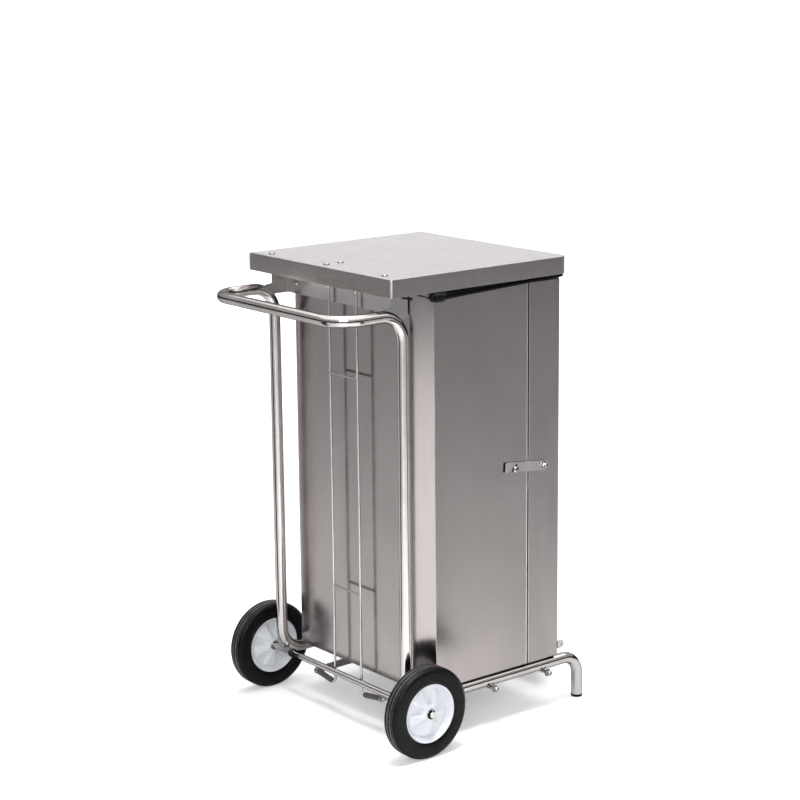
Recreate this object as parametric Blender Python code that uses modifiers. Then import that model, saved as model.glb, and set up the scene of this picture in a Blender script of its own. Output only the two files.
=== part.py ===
"""Mobile stainless steel waste bin with a pedal-lifted lid, a drop front and two wheels.

Metres, +Z up. X is the width, the front (door and pedal) faces -Y, the handle and the
wheels are at +Y. The origin is on the floor under the middle of the bounding box.
"left" and "right" are those of someone pushing the handle: left is +X.
"""
import math

import bmesh
import bpy
from mathutils import Matrix, Vector

# ---- driving dimensions ---------------------------------------------------------------
GAP = 0.0003                      # clearance between touching pieces
SHEET = 0.0015                    # thickness of the sheet metal
SIDES = (("left", 1), ("right", -1))

TUBE_R, TUBE_WALL = 0.0125, 0.0015 # frame tube
POST_X, POST_Y = 0.226, 0.188
RAIL_Z, FOOT_Y = 0.100, -0.307
HANDLE_Y, HANDLE_Z = 0.350, 0.9405
FOOT_BEND, POST_BEND, HANDLE_BEND = 0.045, 0.056, 0.055
TIP_H = 0.007                     # rubber foot tip

WHEEL_R, WHEEL_X, WHEEL_W = 0.100, 0.283, 0.041
RIM_R = 0.064                     # where the tyre sits on the hub
AXLE_Y, AXLE_R, AXLE_END = 0.183, 0.007, 0.3105
BUSH_R = 0.011

BODY_X, BODY_FRONT, BODY_REAR = 0.237, -0.239, 0.150
BODY_CHAMFER = 0.036
BODY_BOTTOM, BODY_TOP = 0.118, 1.016
SEAM_Y, SEAM_GAP = -0.146, 0.003  # upright gap between the body and the door
DOOR_TOP, DOOR_BOTTOM = 0.969, 0.119
FRONT_CORNER = 0.006
RIM_BAR, RIM_BAR_H, RIM_DROP = 0.003, 0.016, 0.002 # flat bar ring inside the top edge
HEADER_GAP = 0.0018               # between the door's top edge and the strip above it
FLOOR_FRONT = -0.222
CROSS_BARS, CROSS_BAR_HALF, CROSS_BAR_T = (("front", -0.155), ("rear", 0.020)), 0.0125, 0.004

LID_X, LID_FRONT, LID_REAR = 0.250, -0.248, 0.236
LID_TOP, LID_SKIRT, LID_CORNER = 1.019, 0.0385, 0.018
LID_AXIS_Y, LID_AXIS_Z = 0.196, 0.993

BRACKET_X, BRACKET_WEB_Y, BRACKET_REAR = 0.2100, 0.163, 0.206
BRACKET_BOTTOM, BRACKET_TOP = 0.928, 1.010
BRACKET_LOBE = ((0.190, 0.928), (0.203, 0.931), (0.216, 0.9395), (0.228, 0.943), (0.2305, 0.947),
                (0.222, 0.951), (0.204, 0.953), (0.190, 0.953)) # (y, z): the lap under the handle
BOLT_X, BOLT_Z = 0.1765, 0.952
BOLT_R, BOLT_HEAD_R, BOLT_HEAD_H, SPACER_R = 0.003, 0.0055, 0.004, 0.006
HOOK_Y, HOOK_Z, HOOK_HOLE_R = 0.179, 0.972, 0.0038
NOTCH_X, NOTCH_LOW, NOTCH_HIGH = 0.193, 0.964, 0.988 # slot in the web where the hook passes
LID_PIN_R, LID_PIN_HOLE_R = 0.003, 0.0033
LID_EAR_X, LID_EAR_T = 0.206, 0.002
LID_SCREWS = (("hinge_left", 0.198, 0.211), ("hinge_right", -0.198, 0.211),
              ("clip_rear", 0, 0.211), ("clip_front", 0, 0.174))

WIRE_R, WIRE_X, WIRE_Y = 0.003, 0.048, 0.171
WIRE_TOP_Y, WIRE_TOP, WIRE_BOTTOM, WIRE_END = 0.177, 0.996, 0.077, 0.1225
CRANK_LOW, CRANK_HIGH = 0.955, 0.973 # where the wires lean back to their clip
RUNG_R, RUNG_HEIGHTS = 0.0026, (("upper", 0.774), ("lower", 0.295))
SLEEVE_R, SLEEVE_START, SLEEVE_LENGTH = 0.0052, 0.0595, 0.053
CLIP_HALF, CLIP_PLATE_HALF, CLIP_BORE_R = 0.011, 0.015, 0.0036

PIVOT_Y, STOP_Y, CROSS_Z, CROSS_R = -0.047, -0.204, 0.0832, 0.004
NUT_R = 0.0075

DOOR_AXIS_Y, DOOR_AXIS_Z = -0.2485, 0.139
HINGE_EYE_R, HINGE_PIN_R, HINGE_T = 0.009, 0.0025, 0.003
DOOR_EAR_X, HINGE_LUG_X = 0.2340, 0.1995
LUG_REAR, LUG_LOW, LUG_HIGH = -0.200, 0.108, 0.1162

LATCH_Y, LATCH_Z, LATCH_TILT = -0.191, 0.563, math.radians(6.5)
LATCH_LENGTH, LATCH_HALF, LATCH_T = 0.111, 0.011, 0.002
LATCH_OFFSET = 0.001              # from the side panel to the strip
LATCH_HOLE_R, NOTCH_U = 0.0034, 0.0832 # NOTCH_U: from the strip's pivot to its notch
TAB_T, TAB_WIDTH, TAB_HEIGHT = 0.0022, 0.0160, 0.0065
PIN_Y, PIN_Z, PIN_R = -0.108, 0.567, 0.0022

CORD_R = 0.0034
CORD_STRANDS = (("upper", 0.0055, 0.9885), ("lower", -0.0050, 0.9800)) # height over the coil, front z
COIL_R, COIL_FRONT, COIL_REAR, COIL_Z = 0.0103, 0.095, 0.124, 0.9690
HOOK_WIRE_R, HOOK_TIP_R = 0.0017, 0.0024
HOOK_NECK = ((-0.004, 0.134, 0.9705, 0.0070), (-0.013, 0.144, 0.9735, 0.0028)) # x from the coil, y, z, radius
HOOK_EYE = ((0.2240, 0.1500, 0.9755), (0.2110, 0.1550, 0.9760), (0.2020, 0.1640, 0.9755),
            (0.2020, 0.1785, 0.972), (0.2170, 0.1795, 0.972), (0.2235, 0.1620, 0.9680))

ARM_X, ARM_T = 0.117, 0.004
ARM_EYE_R, ARM_EYE_HOLE_R, ARM_HUB_R, PIVOT_TUBE_R = 0.0072, 0.0052, 0.0105, 0.0075
PEDAL_T, PEDAL_Z = 0.004, 0.0665
PEDAL_HALF, PEDAL_FRONT, PEDAL_REAR = 0.075, -0.3625, -0.285

# ---- materials ------------------------------------------------------------------------
FINISHES = {
    "steel_sheet": ((0.52, 0.50, 0.49), 0.34, 1.0),
    "steel_lid": ((0.74, 0.74, 0.74), 0.30, 1.0),
    "steel_tube": ((0.66, 0.65, 0.64), 0.16, 1.0),
    "steel_fastener": ((0.60, 0.59, 0.58), 0.22, 1.0),
    "rubber": ((0.012, 0.012, 0.013), 0.55, 0.0),
    "hub_plastic": ((0.82, 0.84, 0.88), 0.38, 0.0),
    "cord": ((0.01, 0.01, 0.012), 0.7, 0.0),
    "grip_rubber": ((0.06, 0.055, 0.055), 0.6, 0.0),
}


def make_material(finish, node):
    """One Principled material for one sub-part."""
    colour, roughness, metallic = FINISHES[finish]
    material = bpy.data.materials.new(node)
    material.use_nodes = True
    shader = material.node_tree.nodes["Principled BSDF"]
    shader.inputs["Base Color"].default_value = (*colour, 1)
    shader.inputs["Roughness"].default_value = roughness
    shader.inputs["Metallic"].default_value = metallic
    return material


# ---- scene and helpers ----------------------------------------------------------------
def start_scene():
    for old in list(bpy.data.objects):
        bpy.data.objects.remove(old, do_unlink=True)
    groups = []
    for name in ("waste_bin", "cutters"):
        group = bpy.data.collections.new(name)
        bpy.context.scene.collection.children.link(group)
        groups.append(group)
    return groups


PARTS, CUTTERS = start_scene()


def add_object(name, data, finish, place=None):
    """Put data in the parts collection, or in the cutters when it has no finish."""
    obj = bpy.data.objects.new(name, data)
    if finish:
        PARTS.objects.link(obj)
        data.materials.append(make_material(finish, name))
    else:
        CUTTERS.objects.link(obj)
        obj.hide_render = True
        obj.display_type = "WIRE"
    if place is not None:
        obj.matrix_world = place
    return obj


def aim(point, direction):
    """A frame at point whose +Z runs along direction."""
    turn = Vector(direction).to_track_quat("Z", "Y").to_matrix().to_4x4()
    return Matrix.Translation(point) @ turn


def box(name, finish, low, high):
    low, high = Vector(low), Vector(high)
    shape = bmesh.new()
    bmesh.ops.create_cube(shape, size=1)
    bmesh.ops.scale(shape, vec=high - low, verts=shape.verts)
    mesh = bpy.data.meshes.new(name)
    shape.to_mesh(mesh)
    shape.free()
    return add_object(name, mesh, finish, Matrix.Translation((low + high) / 2))


def rod(name, finish, start, end, radius, sides=16):
    start, end = Vector(start), Vector(end)
    shape = bmesh.new()
    bmesh.ops.create_cone(shape, cap_ends=True, segments=sides, radius1=radius,
                          radius2=radius, depth=(end - start).length)
    mesh = bpy.data.meshes.new(name)
    shape.to_mesh(mesh)
    shape.free()
    mesh.shade_smooth()
    mesh.set_sharp_from_angle(angle=math.radians(40))
    return add_object(name, mesh, finish, aim((start + end) / 2, end - start))


def turned(name, finish, profile, point, direction, steps=24, ring=False):
    """A profile of (radius, height) pairs, top to bottom, turned about direction."""
    mesh = bpy.data.meshes.new(name)
    count = len(profile)
    edges = [(i, i + 1) for i in range(count - 1)]
    if ring:
        edges.append((count - 1, 0))
    mesh.from_pydata([(r, 0, h) for r, h in profile], edges, [])
    obj = add_object(name, mesh, finish, aim(point, direction))
    screw = obj.modifiers.new("turn", "SCREW")
    screw.steps = screw.render_steps = steps
    screw.use_merge_vertices = True
    screw.merge_threshold = 0.00001
    screw.use_smooth_shade = True
    return obj


def arc(centre, radius, start, end, steps):
    """Points on a circle between two angles in degrees."""
    angles = [math.radians(start + (end - start) * i / steps) for i in range(steps + 1)]
    return [(centre[0] + radius * math.cos(a), centre[1] + radius * math.sin(a)) for a in angles]


def rounded(points, radii, steps=7):
    """A path through points whose inner corners are arcs of the given radii."""
    points = [Vector(p) for p in points]
    path = [points[0]]
    for before, corner, after, radius in zip(points, points[1:], points[2:], radii):
        into, out = (before - corner).normalized(), (after - corner).normalized()
        half = into.angle(out) / 2
        centre = corner + (into + out).normalized() * radius / math.sin(half)
        first = (corner + into * radius / math.tan(half) - centre).normalized()
        last = (corner + out * radius / math.tan(half) - centre).normalized()
        path += [centre + first.slerp(last, i / steps) * radius for i in range(steps + 1)]
    return path + [points[-1]]


def mirrored(path):
    """The half path, then its mirror image about X = 0 run backwards."""
    return path + [Vector((-p.x, p.y, p.z)) for p in reversed(path)]


def tube(name, finish, path, radius, resolution=4, scales=None):
    """A round bar along a path; scales makes it thicker or thinner at its points."""
    data = bpy.data.curves.new(name, "CURVE")
    data.dimensions = "3D"
    data.bevel_depth = radius
    data.bevel_resolution = resolution
    data.use_fill_caps = True
    spline = data.splines.new("POLY")
    spline.points.add(len(path) - 1)
    for point, place, scale in zip(spline.points, path, scales or [1] * len(path)):
        point.co = (*place, 1)
        point.radius = scale
    return add_object(name, data, finish)


def plate(name, finish, outlines, thickness, place):
    """A flat plate: the first outline is its edge and the others are its holes."""
    data = bpy.data.curves.new(name, "CURVE")
    data.dimensions = "2D"
    data.fill_mode = "BOTH"
    data.extrude = thickness / 2
    for outline in outlines:
        spline = data.splines.new("POLY")
        spline.points.add(len(outline) - 1)
        spline.use_cyclic_u = True
        for point, (u, v) in zip(spline.points, outline):
            point.co = (u, v, 0, 1)
    return add_object(name, data, finish, place)


def side_frame(x, y=0.0, z=0.0):
    """A frame whose local XY plane is the upright plane at x: U is +Y and V is +Z."""
    turn = Matrix(((0, 0, 1), (1, 0, 0), (0, 1, 0))).to_4x4()
    return Matrix.Translation((x, y, z)) @ turn


def as_mesh(obj):
    """Swap a curve for a welded mesh, so that it can be cut and joined."""
    graph = bpy.context.evaluated_depsgraph_get()
    mesh = bpy.data.meshes.new_from_object(obj.evaluated_get(graph))
    shape = bmesh.new()
    shape.from_mesh(mesh)
    bmesh.ops.remove_doubles(shape, verts=shape.verts, dist=0.00001)
    shape.to_mesh(mesh)
    shape.free()
    name, groups, place = obj.name, list(obj.users_collection), obj.matrix_world.copy()
    helper, display = obj.hide_render, obj.display_type
    bpy.data.objects.remove(obj, do_unlink=True)
    swapped = bpy.data.objects.new(name, mesh)
    swapped.hide_render, swapped.display_type = helper, display
    for group in groups:
        group.objects.link(swapped)
    swapped.matrix_world = place
    return swapped


def combine(obj, other, operation):
    """Cut obj by other, or join other to it."""
    if operation == "UNION" and other.data.materials:
        other.data.materials.clear()
    step = obj.modifiers.new(other.name, "BOOLEAN")
    step.object = other
    step.operation = operation
    step.solver = "EXACT"


def folded_sheet(name, finish, path, low, high, closed=False):
    """An upright sheet along a plan path, its thickness on the path's left."""
    shape = bmesh.new()
    columns = [(shape.verts.new((x, y, low)), shape.verts.new((x, y, high))) for x, y in path]
    pairs = list(zip(columns, columns[1:] + columns[:1]))
    for (a, b), (c, d) in pairs if closed else pairs[:-1]:
        shape.faces.new((a, c, d, b))
    mesh = bpy.data.meshes.new(name)
    shape.to_mesh(mesh)
    shape.free()
    obj = add_object(name, mesh, finish)
    thick = obj.modifiers.new("thickness", "SOLIDIFY")
    thick.thickness = SHEET
    thick.offset = -1
    thick.use_even_offset = True
    return obj


# ---- frame, feet and running gear -----------------------------------------------------
def build_frame():
    half = rounded([(POST_X, FOOT_Y, TIP_H + GAP), (POST_X, FOOT_Y, RAIL_Z),
                    (POST_X, POST_Y, RAIL_Z), (POST_X, POST_Y, HANDLE_Z),
                    (POST_X, HANDLE_Y, HANDLE_Z), (0, HANDLE_Y, HANDLE_Z)],
                   (FOOT_BEND, POST_BEND, POST_BEND, HANDLE_BEND))
    bar = as_mesh(tube("frame_tube", "steel_tube", mirrored(half[:-1]), TUBE_R))
    below = Vector((0, 0, -TUBE_R))
    through = mirrored([half[0] + below] + half[1:-1])
    combine(bar, as_mesh(tube("tube_bore", None, through, TUBE_R - TUBE_WALL)), "DIFFERENCE")
    for side, sign in SIDES:
        turned(f"foot_tip_{side}", "rubber",
               [(0, TIP_H), (TUBE_R, TIP_H), (TUBE_R + 0.0005, 0.002), (TUBE_R - 0.001, 0), (0, 0)],
               (sign * POST_X, FOOT_Y, 0), (0, 0, 1))


def build_wheels():
    rod("axle", "steel_tube", (-AXLE_END, AXLE_Y, WHEEL_R), (AXLE_END, AXLE_Y, WHEEL_R), AXLE_R, 20)
    half = WHEEL_W / 2
    bore = AXLE_R + 0.0001
    shoulder = arc((WHEEL_R - 0.011, half - 0.011), 0.011, 90, 0, 4)
    lower_shoulder = [(r, -h) for r, h in reversed(shoulder)]
    tyre = [(RIM_R, half - 0.004)] + shoulder + lower_shoulder + [(RIM_R, 0.004 - half)]
    hub_out = RIM_R - GAP
    hub = [(BUSH_R + GAP, half - 0.002), (0.019, half - 0.002), (0.023, half - 0.007),
           (0.055, half - 0.010), (0.058, half - 0.005), (hub_out, half - 0.005)]
    hub += [(r, -h) for r, h in reversed(hub)]
    bush = [(bore, half), (BUSH_R, half), (BUSH_R, -half), (bore, -half)]
    ring = [(bore, 0.002), (BUSH_R - 0.001, 0.002), (BUSH_R - 0.001, 0), (bore, 0)]
    for side, sign in SIDES:
        centre = (sign * WHEEL_X, AXLE_Y, WHEEL_R)
        turned(f"tyre_{side}", "rubber", tyre, centre, (sign, 0, 0), 48, ring=True)
        turned(f"hub_{side}", "hub_plastic", hub, centre, (sign, 0, 0), 32, ring=True)
        turned(f"bush_{side}", "steel_fastener", bush, centre, (sign, 0, 0), 24, ring=True)
        outside = (sign * (WHEEL_X + half + GAP), AXLE_Y, WHEEL_R)
        turned(f"axle_ring_{side}", "steel_fastener", ring, outside, (sign, 0, 0), 24, ring=True)


# ---- body -----------------------------------------------------------------------------
def body_outline(front, inset=0.0):
    """Plan path from the left front edge round the chamfered back to the right one."""
    side, rear = BODY_X - inset, BODY_REAR - inset
    cut = BODY_CHAMFER - inset * (2 - math.sqrt(2))
    left = [(side, front), (side, rear - cut), (side - cut, rear)]
    return left + [(-x, y) for x, y in reversed(left)]


def front_outline(rear, inset=0.0):
    """Plan path from the right seam round the front to the left seam."""
    side, front, radius = BODY_X - inset, BODY_FRONT + inset, FRONT_CORNER
    right = [(-side, rear)] + arc((radius - side, front + radius), radius, 180, 270, 3)
    return right + [(-x, y) for x, y in reversed(right)]


def build_body():
    seam_rear, seam_front = SEAM_Y + SEAM_GAP / 2, SEAM_Y - SEAM_GAP / 2
    folded_sheet("body_shell", "steel_sheet", body_outline(seam_rear), BODY_BOTTOM, BODY_TOP)
    folded_sheet("header_panel", "steel_sheet", front_outline(seam_front), DOOR_TOP + HEADER_GAP, BODY_TOP)
    inset = SHEET + GAP
    ring = body_outline(SEAM_Y, inset)[1:-1] + front_outline(SEAM_Y, inset)[1:-1]
    bar = folded_sheet("rim_ring", "steel_fastener", ring, BODY_TOP - RIM_DROP - RIM_BAR_H,
                       BODY_TOP - RIM_DROP, closed=True)
    bar.modifiers["thickness"].thickness = RIM_BAR
    floor_z = RAIL_Z + TUBE_R + GAP + CROSS_BAR_T + GAP
    plate("floor_panel", "steel_sheet", [body_outline(FLOOR_FRONT, inset)], SHEET,
          Matrix.Translation((0, 0, floor_z + SHEET / 2)))
    for end, y in CROSS_BARS:
        box(f"cross_bar_{end}", "steel_fastener", (-POST_X, y - CROSS_BAR_HALF, RAIL_Z + TUBE_R + GAP),
            (POST_X, y + CROSS_BAR_HALF, floor_z - GAP))
    for side, sign in SIDES:
        turned(f"latch_pin_{side}", "steel_fastener",
               [(0, 0.0082), (0.0045, 0.0076), (0.0072, 0.0054), (0.0076, 0.0032),
                (PIN_R, 0.0032), (PIN_R, 0), (0, 0)],
               (sign * (BODY_X + GAP), PIN_Y, PIN_Z), (sign, 0, 0), 16)


def build_bracket():
    """The channel above the handle bend: it carries the lid, and the cord hooks into it."""
    path = [(BRACKET_X, BRACKET_REAR), (BRACKET_X, BRACKET_WEB_Y - SHEET),
            (-BRACKET_X, BRACKET_WEB_Y - SHEET), (-BRACKET_X, BRACKET_REAR)]
    channel = folded_sheet("hanger_bracket", "steel_sheet", list(reversed(path)),
                           BRACKET_BOTTOM, BRACKET_TOP)
    reach = 0.01
    for side, sign in SIDES:
        ear = as_mesh(plate(f"lobe_{side}", None, [BRACKET_LOBE], SHEET,
                            side_frame(sign * (BRACKET_X - SHEET / 2))))
        combine(channel, ear, "UNION")
        inner, outer = sign * (BRACKET_X - reach), sign * (BRACKET_X + reach)
        through = ((inner, HOOK_Y, HOOK_Z), (outer, HOOK_Y, HOOK_Z))
        combine(channel, rod(f"hook_hole_{side}", None, *through, HOOK_HOLE_R), "DIFFERENCE")
        pivot = ((inner, LID_AXIS_Y, LID_AXIS_Z), (outer, LID_AXIS_Y, LID_AXIS_Z))
        combine(channel, rod(f"lid_pin_hole_{side}", None, *pivot, LID_PIN_HOLE_R), "DIFFERENCE")
        notch = sorted((sign * NOTCH_X, sign * (BRACKET_X - SHEET)))
        combine(channel, box(f"hook_notch_{side}", None, (notch[0], BRACKET_WEB_Y - reach / 2, NOTCH_LOW),
                             (notch[1], BRACKET_WEB_Y + reach / 2, NOTCH_HIGH)), "DIFFERENCE")
        web = ((sign * BOLT_X, BRACKET_WEB_Y - reach, BOLT_Z), (sign * BOLT_X, BRACKET_WEB_Y + reach, BOLT_Z))
        combine(channel, rod(f"bolt_hole_{side}", None, *web, BOLT_R + 0.0005), "DIFFERENCE")
        spacer_top = BRACKET_WEB_Y - SHEET - GAP - BODY_REAR - GAP
        head = spacer_top + SHEET + 2 * GAP
        turned(f"bracket_bolt_{side}", "steel_fastener",
               [(0, head + BOLT_HEAD_H), (BOLT_R, head + BOLT_HEAD_H - 0.0005), (BOLT_HEAD_R, head),
                (BOLT_R, head), (BOLT_R, spacer_top), (SPACER_R, spacer_top), (SPACER_R, 0), (0, 0)],
               (sign * BOLT_X, BODY_REAR + GAP, BOLT_Z), (0, 1, 0), 16)


# ---- cord with its spiral hooks -------------------------------------------------------
def build_cord():
    """A doubled elastic cord round the front of the body, hooked into the bracket."""
    out = BODY_X + GAP + CORD_R + GAP
    front = BODY_FRONT - GAP - CORD_R - GAP
    for name, lift, front_z in CORD_STRANDS:
        rear_z = COIL_Z + lift
        half = rounded([(out + 0.004, COIL_FRONT - GAP, rear_z), (out + 0.004, 0.086, rear_z),
                        (out, 0.055, rear_z + 0.001), (out, front, front_z), (0, front, front_z)],
                       (0.03, 0.03, 0.0100), 5)
        tube(f"bungee_cord_{name}", "cord", mirrored(half[:-1]), CORD_R, 2)
    coil_x = BODY_X + GAP + COIL_R
    coil = [(coil_x, COIL_FRONT, COIL_Z), (coil_x, COIL_REAR, COIL_Z)]
    coil += [(coil_x + across, y, z) for across, y, z, _ in HOOK_NECK]
    turn = rounded(HOOK_EYE, (0.008, 0.006, 0.005, 0.006), 4)
    scales = [COIL_R, COIL_R] + [radius for *_, radius in HOOK_NECK]
    scales += [HOOK_WIRE_R] * (len(turn) - 3) + [HOOK_TIP_R] * 3
    for side, sign in SIDES:
        path = [(sign * x, y, z) for x, y, z in coil + [tuple(p) for p in turn]]
        tube(f"hook_{side}", "steel_fastener", path, 1.0, 3, scales)


# ---- lid ------------------------------------------------------------------------------
def build_lid():
    front = arc((LID_CORNER - LID_X, LID_FRONT + LID_CORNER), LID_CORNER, 180, 270, 5)
    outline = [(-LID_X, LID_REAR)] + front + [(-x, y) for x, y in reversed(front)] + [(LID_X, LID_REAR)]
    shape = bmesh.new()
    top = shape.faces.new([shape.verts.new((x, y, LID_TOP)) for x, y in outline])
    rim = bmesh.ops.extrude_edge_only(shape, edges=list(top.edges))
    lowered = [item for item in rim["geom"] if isinstance(item, bmesh.types.BMVert)]
    bmesh.ops.translate(shape, verts=lowered, vec=(0, 0, -LID_SKIRT))
    bmesh.ops.recalc_face_normals(shape, faces=shape.faces)
    bmesh.ops.translate(shape, verts=shape.verts, vec=(0, -LID_AXIS_Y, -LID_AXIS_Z))
    mesh = bpy.data.meshes.new("lid_panel")
    shape.to_mesh(mesh)
    shape.free()
    axis = Matrix.Translation((0, LID_AXIS_Y, LID_AXIS_Z))
    lid = add_object("lid_panel", mesh, "steel_lid", axis)
    thick = lid.modifiers.new("thickness", "SOLIDIFY")
    thick.thickness = SHEET
    thick.offset = -1
    thick.use_even_offset = True

    under = LID_TOP - SHEET - GAP
    for side, sign in SIDES:
        build_lid_ear(side, sign, under)

    clip = box("rod_clip", "steel_fastener", (-CLIP_HALF, WIRE_TOP_Y - 0.007, WIRE_TOP - 0.007),
               (CLIP_HALF, WIRE_TOP_Y + 0.007, under))
    clip_plate = box("clip_plate", None, (-CLIP_PLATE_HALF, 0.165, under - 0.0025),
                     (CLIP_PLATE_HALF, 0.219, under - 0.0002))
    combine(clip, clip_plate, "UNION")
    bore = rod("clip_bore", None, (-0.02, WIRE_TOP_Y, WIRE_TOP), (0.02, WIRE_TOP_Y, WIRE_TOP), CLIP_BORE_R)
    combine(clip, bore, "DIFFERENCE")
    for name, x, y in LID_SCREWS:
        turned(f"lid_screw_{name}", "steel_fastener",
               [(0, 0.0016), (0.003, 0.0013), (0.0048, 0), (0, 0)],
               (x, y, LID_TOP + GAP), (0, 0, 1), 16)


def build_lid_ear(side, sign, under):
    """A hinge ear under the lid: a plate with a flange and a pin into the bracket."""
    outline = arc((LID_AXIS_Y, LID_AXIS_Z), 0.007, 190, 350, 6)
    outline += [(0.219, under - 0.003), (0.219, under), (0.200, under), (0.194, under - 0.006)]
    middle = LID_EAR_X + LID_EAR_T / 2
    ear = as_mesh(plate(f"lid_ear_{side}", "steel_fastener", [outline], LID_EAR_T, side_frame(sign * middle)))
    x_low, x_high = sorted((sign * 0.189, sign * middle))
    flange = box(f"ear_flange_{side}", None, (x_low, 0.201, under - 0.002), (x_high, 0.2185, under - 0.0002))
    combine(ear, flange, "UNION")
    pin = rod(f"ear_pin_{side}", None, (sign * middle, LID_AXIS_Y, LID_AXIS_Z),
              (sign * (BRACKET_X + 0.0025), LID_AXIS_Y, LID_AXIS_Z), LID_PIN_R)
    combine(ear, pin, "UNION")


# ---- lid rods and pedal ---------------------------------------------------------------
def build_lid_rods():
    half = rounded([(WIRE_END, WIRE_Y, WIRE_BOTTOM), (WIRE_X, WIRE_Y, WIRE_BOTTOM),
                    (WIRE_X, WIRE_Y, CRANK_LOW), (WIRE_X, WIRE_TOP_Y, CRANK_HIGH),
                    (WIRE_X, WIRE_TOP_Y, WIRE_TOP), (0, WIRE_TOP_Y, WIRE_TOP)],
                   (0.009, 0.012, 0.012, 0.012), 4)
    wire = as_mesh(tube("lid_rod_frame", "steel_tube", mirrored(half[:-1]), WIRE_R, 2))
    for name, z in RUNG_HEIGHTS:
        rung = rod(f"rung_{name}", None, (-WIRE_X, WIRE_Y, z), (WIRE_X, WIRE_Y, z), RUNG_R, 12)
        combine(wire, rung, "UNION")
    bore = WIRE_R + GAP
    for side, sign in SIDES:
        turned(f"rod_sleeve_{side}", "grip_rubber",
               [(bore, SLEEVE_LENGTH), (SLEEVE_R - 0.001, SLEEVE_LENGTH), (SLEEVE_R, SLEEVE_LENGTH - 0.002),
                (SLEEVE_R, 0), (bore, 0)],
               (sign * SLEEVE_START, WIRE_Y, WIRE_BOTTOM), (sign, 0, 0), 16, ring=True)


def build_pedal():
    arm = arc((WIRE_Y, WIRE_BOTTOM), ARM_EYE_R, -70, 100, 6)
    arm += arc((PIVOT_Y, CROSS_Z), ARM_HUB_R, 85, 105, 2)
    arm += [(-0.190, 0.0787), (PEDAL_REAR - 0.012, 0.0735), (PEDAL_REAR - 0.012, 0.0600),
            (PIVOT_Y - 0.010, 0.0725), (PIVOT_Y + 0.010, 0.0725)]
    bore = CROSS_R + GAP
    eye = arc((WIRE_Y, WIRE_BOTTOM), ARM_EYE_HOLE_R, 360, 22.5, 15)
    hole = arc((PIVOT_Y, CROSS_Z), bore, 360, 22.5, 15)
    shifted = [[(y - PIVOT_Y, z - CROSS_Z) for y, z in outline] for outline in (arm, eye, hole)]
    for side, sign in SIDES:
        plate(f"pedal_arm_{side}", "steel_sheet", shifted, ARM_T,
              side_frame(sign * ARM_X, PIVOT_Y, CROSS_Z))
    inner = ARM_X - ARM_T / 2 - GAP
    turned("pedal_pivot_tube", "steel_fastener",
           [(bore, 2 * inner), (PIVOT_TUBE_R, 2 * inner), (PIVOT_TUBE_R, 0), (bore, 0)],
           (-inner, PIVOT_Y, CROSS_Z), (1, 0, 0), 16, ring=True)
    right = [(PEDAL_HALF - 0.030, 0), (PEDAL_HALF, 0.012), (PEDAL_HALF, 0.030), (inner, 0.045),
             (inner, PEDAL_REAR - PEDAL_FRONT)]
    outline = right + [(-x, y) for x, y in reversed(right)]
    plate("pedal_plate", "steel_sheet", [outline], PEDAL_T, Matrix.Translation((0, PEDAL_FRONT, PEDAL_Z)))


def build_cross_rods():
    end = POST_X + TUBE_R + 0.001
    for name, y in (("pivot_rod", PIVOT_Y), ("stop_rod", STOP_Y)):
        rod(name, "steel_fastener", (-end, y, CROSS_Z), (end, y, CROSS_Z), CROSS_R)
        for side, sign in SIDES:
            turned(f"{name}_nut_{side}", "steel_fastener",
                   [(0, 0.0125)] + arc((0, 0.0055), 0.0066, 70, 8, 4) + [(NUT_R, 0.0055), (NUT_R, 0), (0, 0)],
                   (sign * (end + GAP), y, CROSS_Z), (sign, 0, 0), 12)


# ---- drop front and its latches -------------------------------------------------------
def build_door():
    path = front_outline(SEAM_Y - SEAM_GAP / 2)
    tray = folded_sheet("door_tray", "steel_sheet", path, DOOR_BOTTOM, DOOR_TOP)
    tray.data.transform(Matrix.Translation((0, -DOOR_AXIS_Y, -DOOR_AXIS_Z)))
    tray.matrix_world = Matrix.Translation((0, DOOR_AXIS_Y, DOOR_AXIS_Z))
    face = BODY_FRONT - GAP
    for side, sign in SIDES:
        ear = arc((0, 0), HINGE_EYE_R, 105, 255, 9)
        ear += [(face - DOOR_AXIS_Y, -HINGE_EYE_R), (face - DOOR_AXIS_Y, HINGE_EYE_R)]
        hole = arc((0, 0), HINGE_PIN_R + GAP, 360, 30, 11)
        plate(f"door_ear_{side}", "steel_fastener", [ear, hole], HINGE_T,
              side_frame(sign * DOOR_EAR_X, DOOR_AXIS_Y, DOOR_AXIS_Z))
        lug = arc((DOOR_AXIS_Y, DOOR_AXIS_Z), HINGE_EYE_R - 0.001, 0, 180, 8)
        lug += [(DOOR_AXIS_Y - 0.008, LUG_LOW), (LUG_REAR, LUG_LOW), (LUG_REAR, LUG_HIGH),
                (DOOR_AXIS_Y + 0.008, LUG_HIGH)]
        post = as_mesh(plate(f"hinge_lug_{side}", "steel_fastener", [lug], HINGE_T,
                             side_frame(sign * HINGE_LUG_X)))
        pin = rod(f"hinge_pin_{side}", None, (sign * HINGE_LUG_X, DOOR_AXIS_Y, DOOR_AXIS_Z),
                  (sign * (DOOR_EAR_X + 0.0005), DOOR_AXIS_Y, DOOR_AXIS_Z), HINGE_PIN_R, 12)
        combine(post, pin, "UNION")


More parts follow.
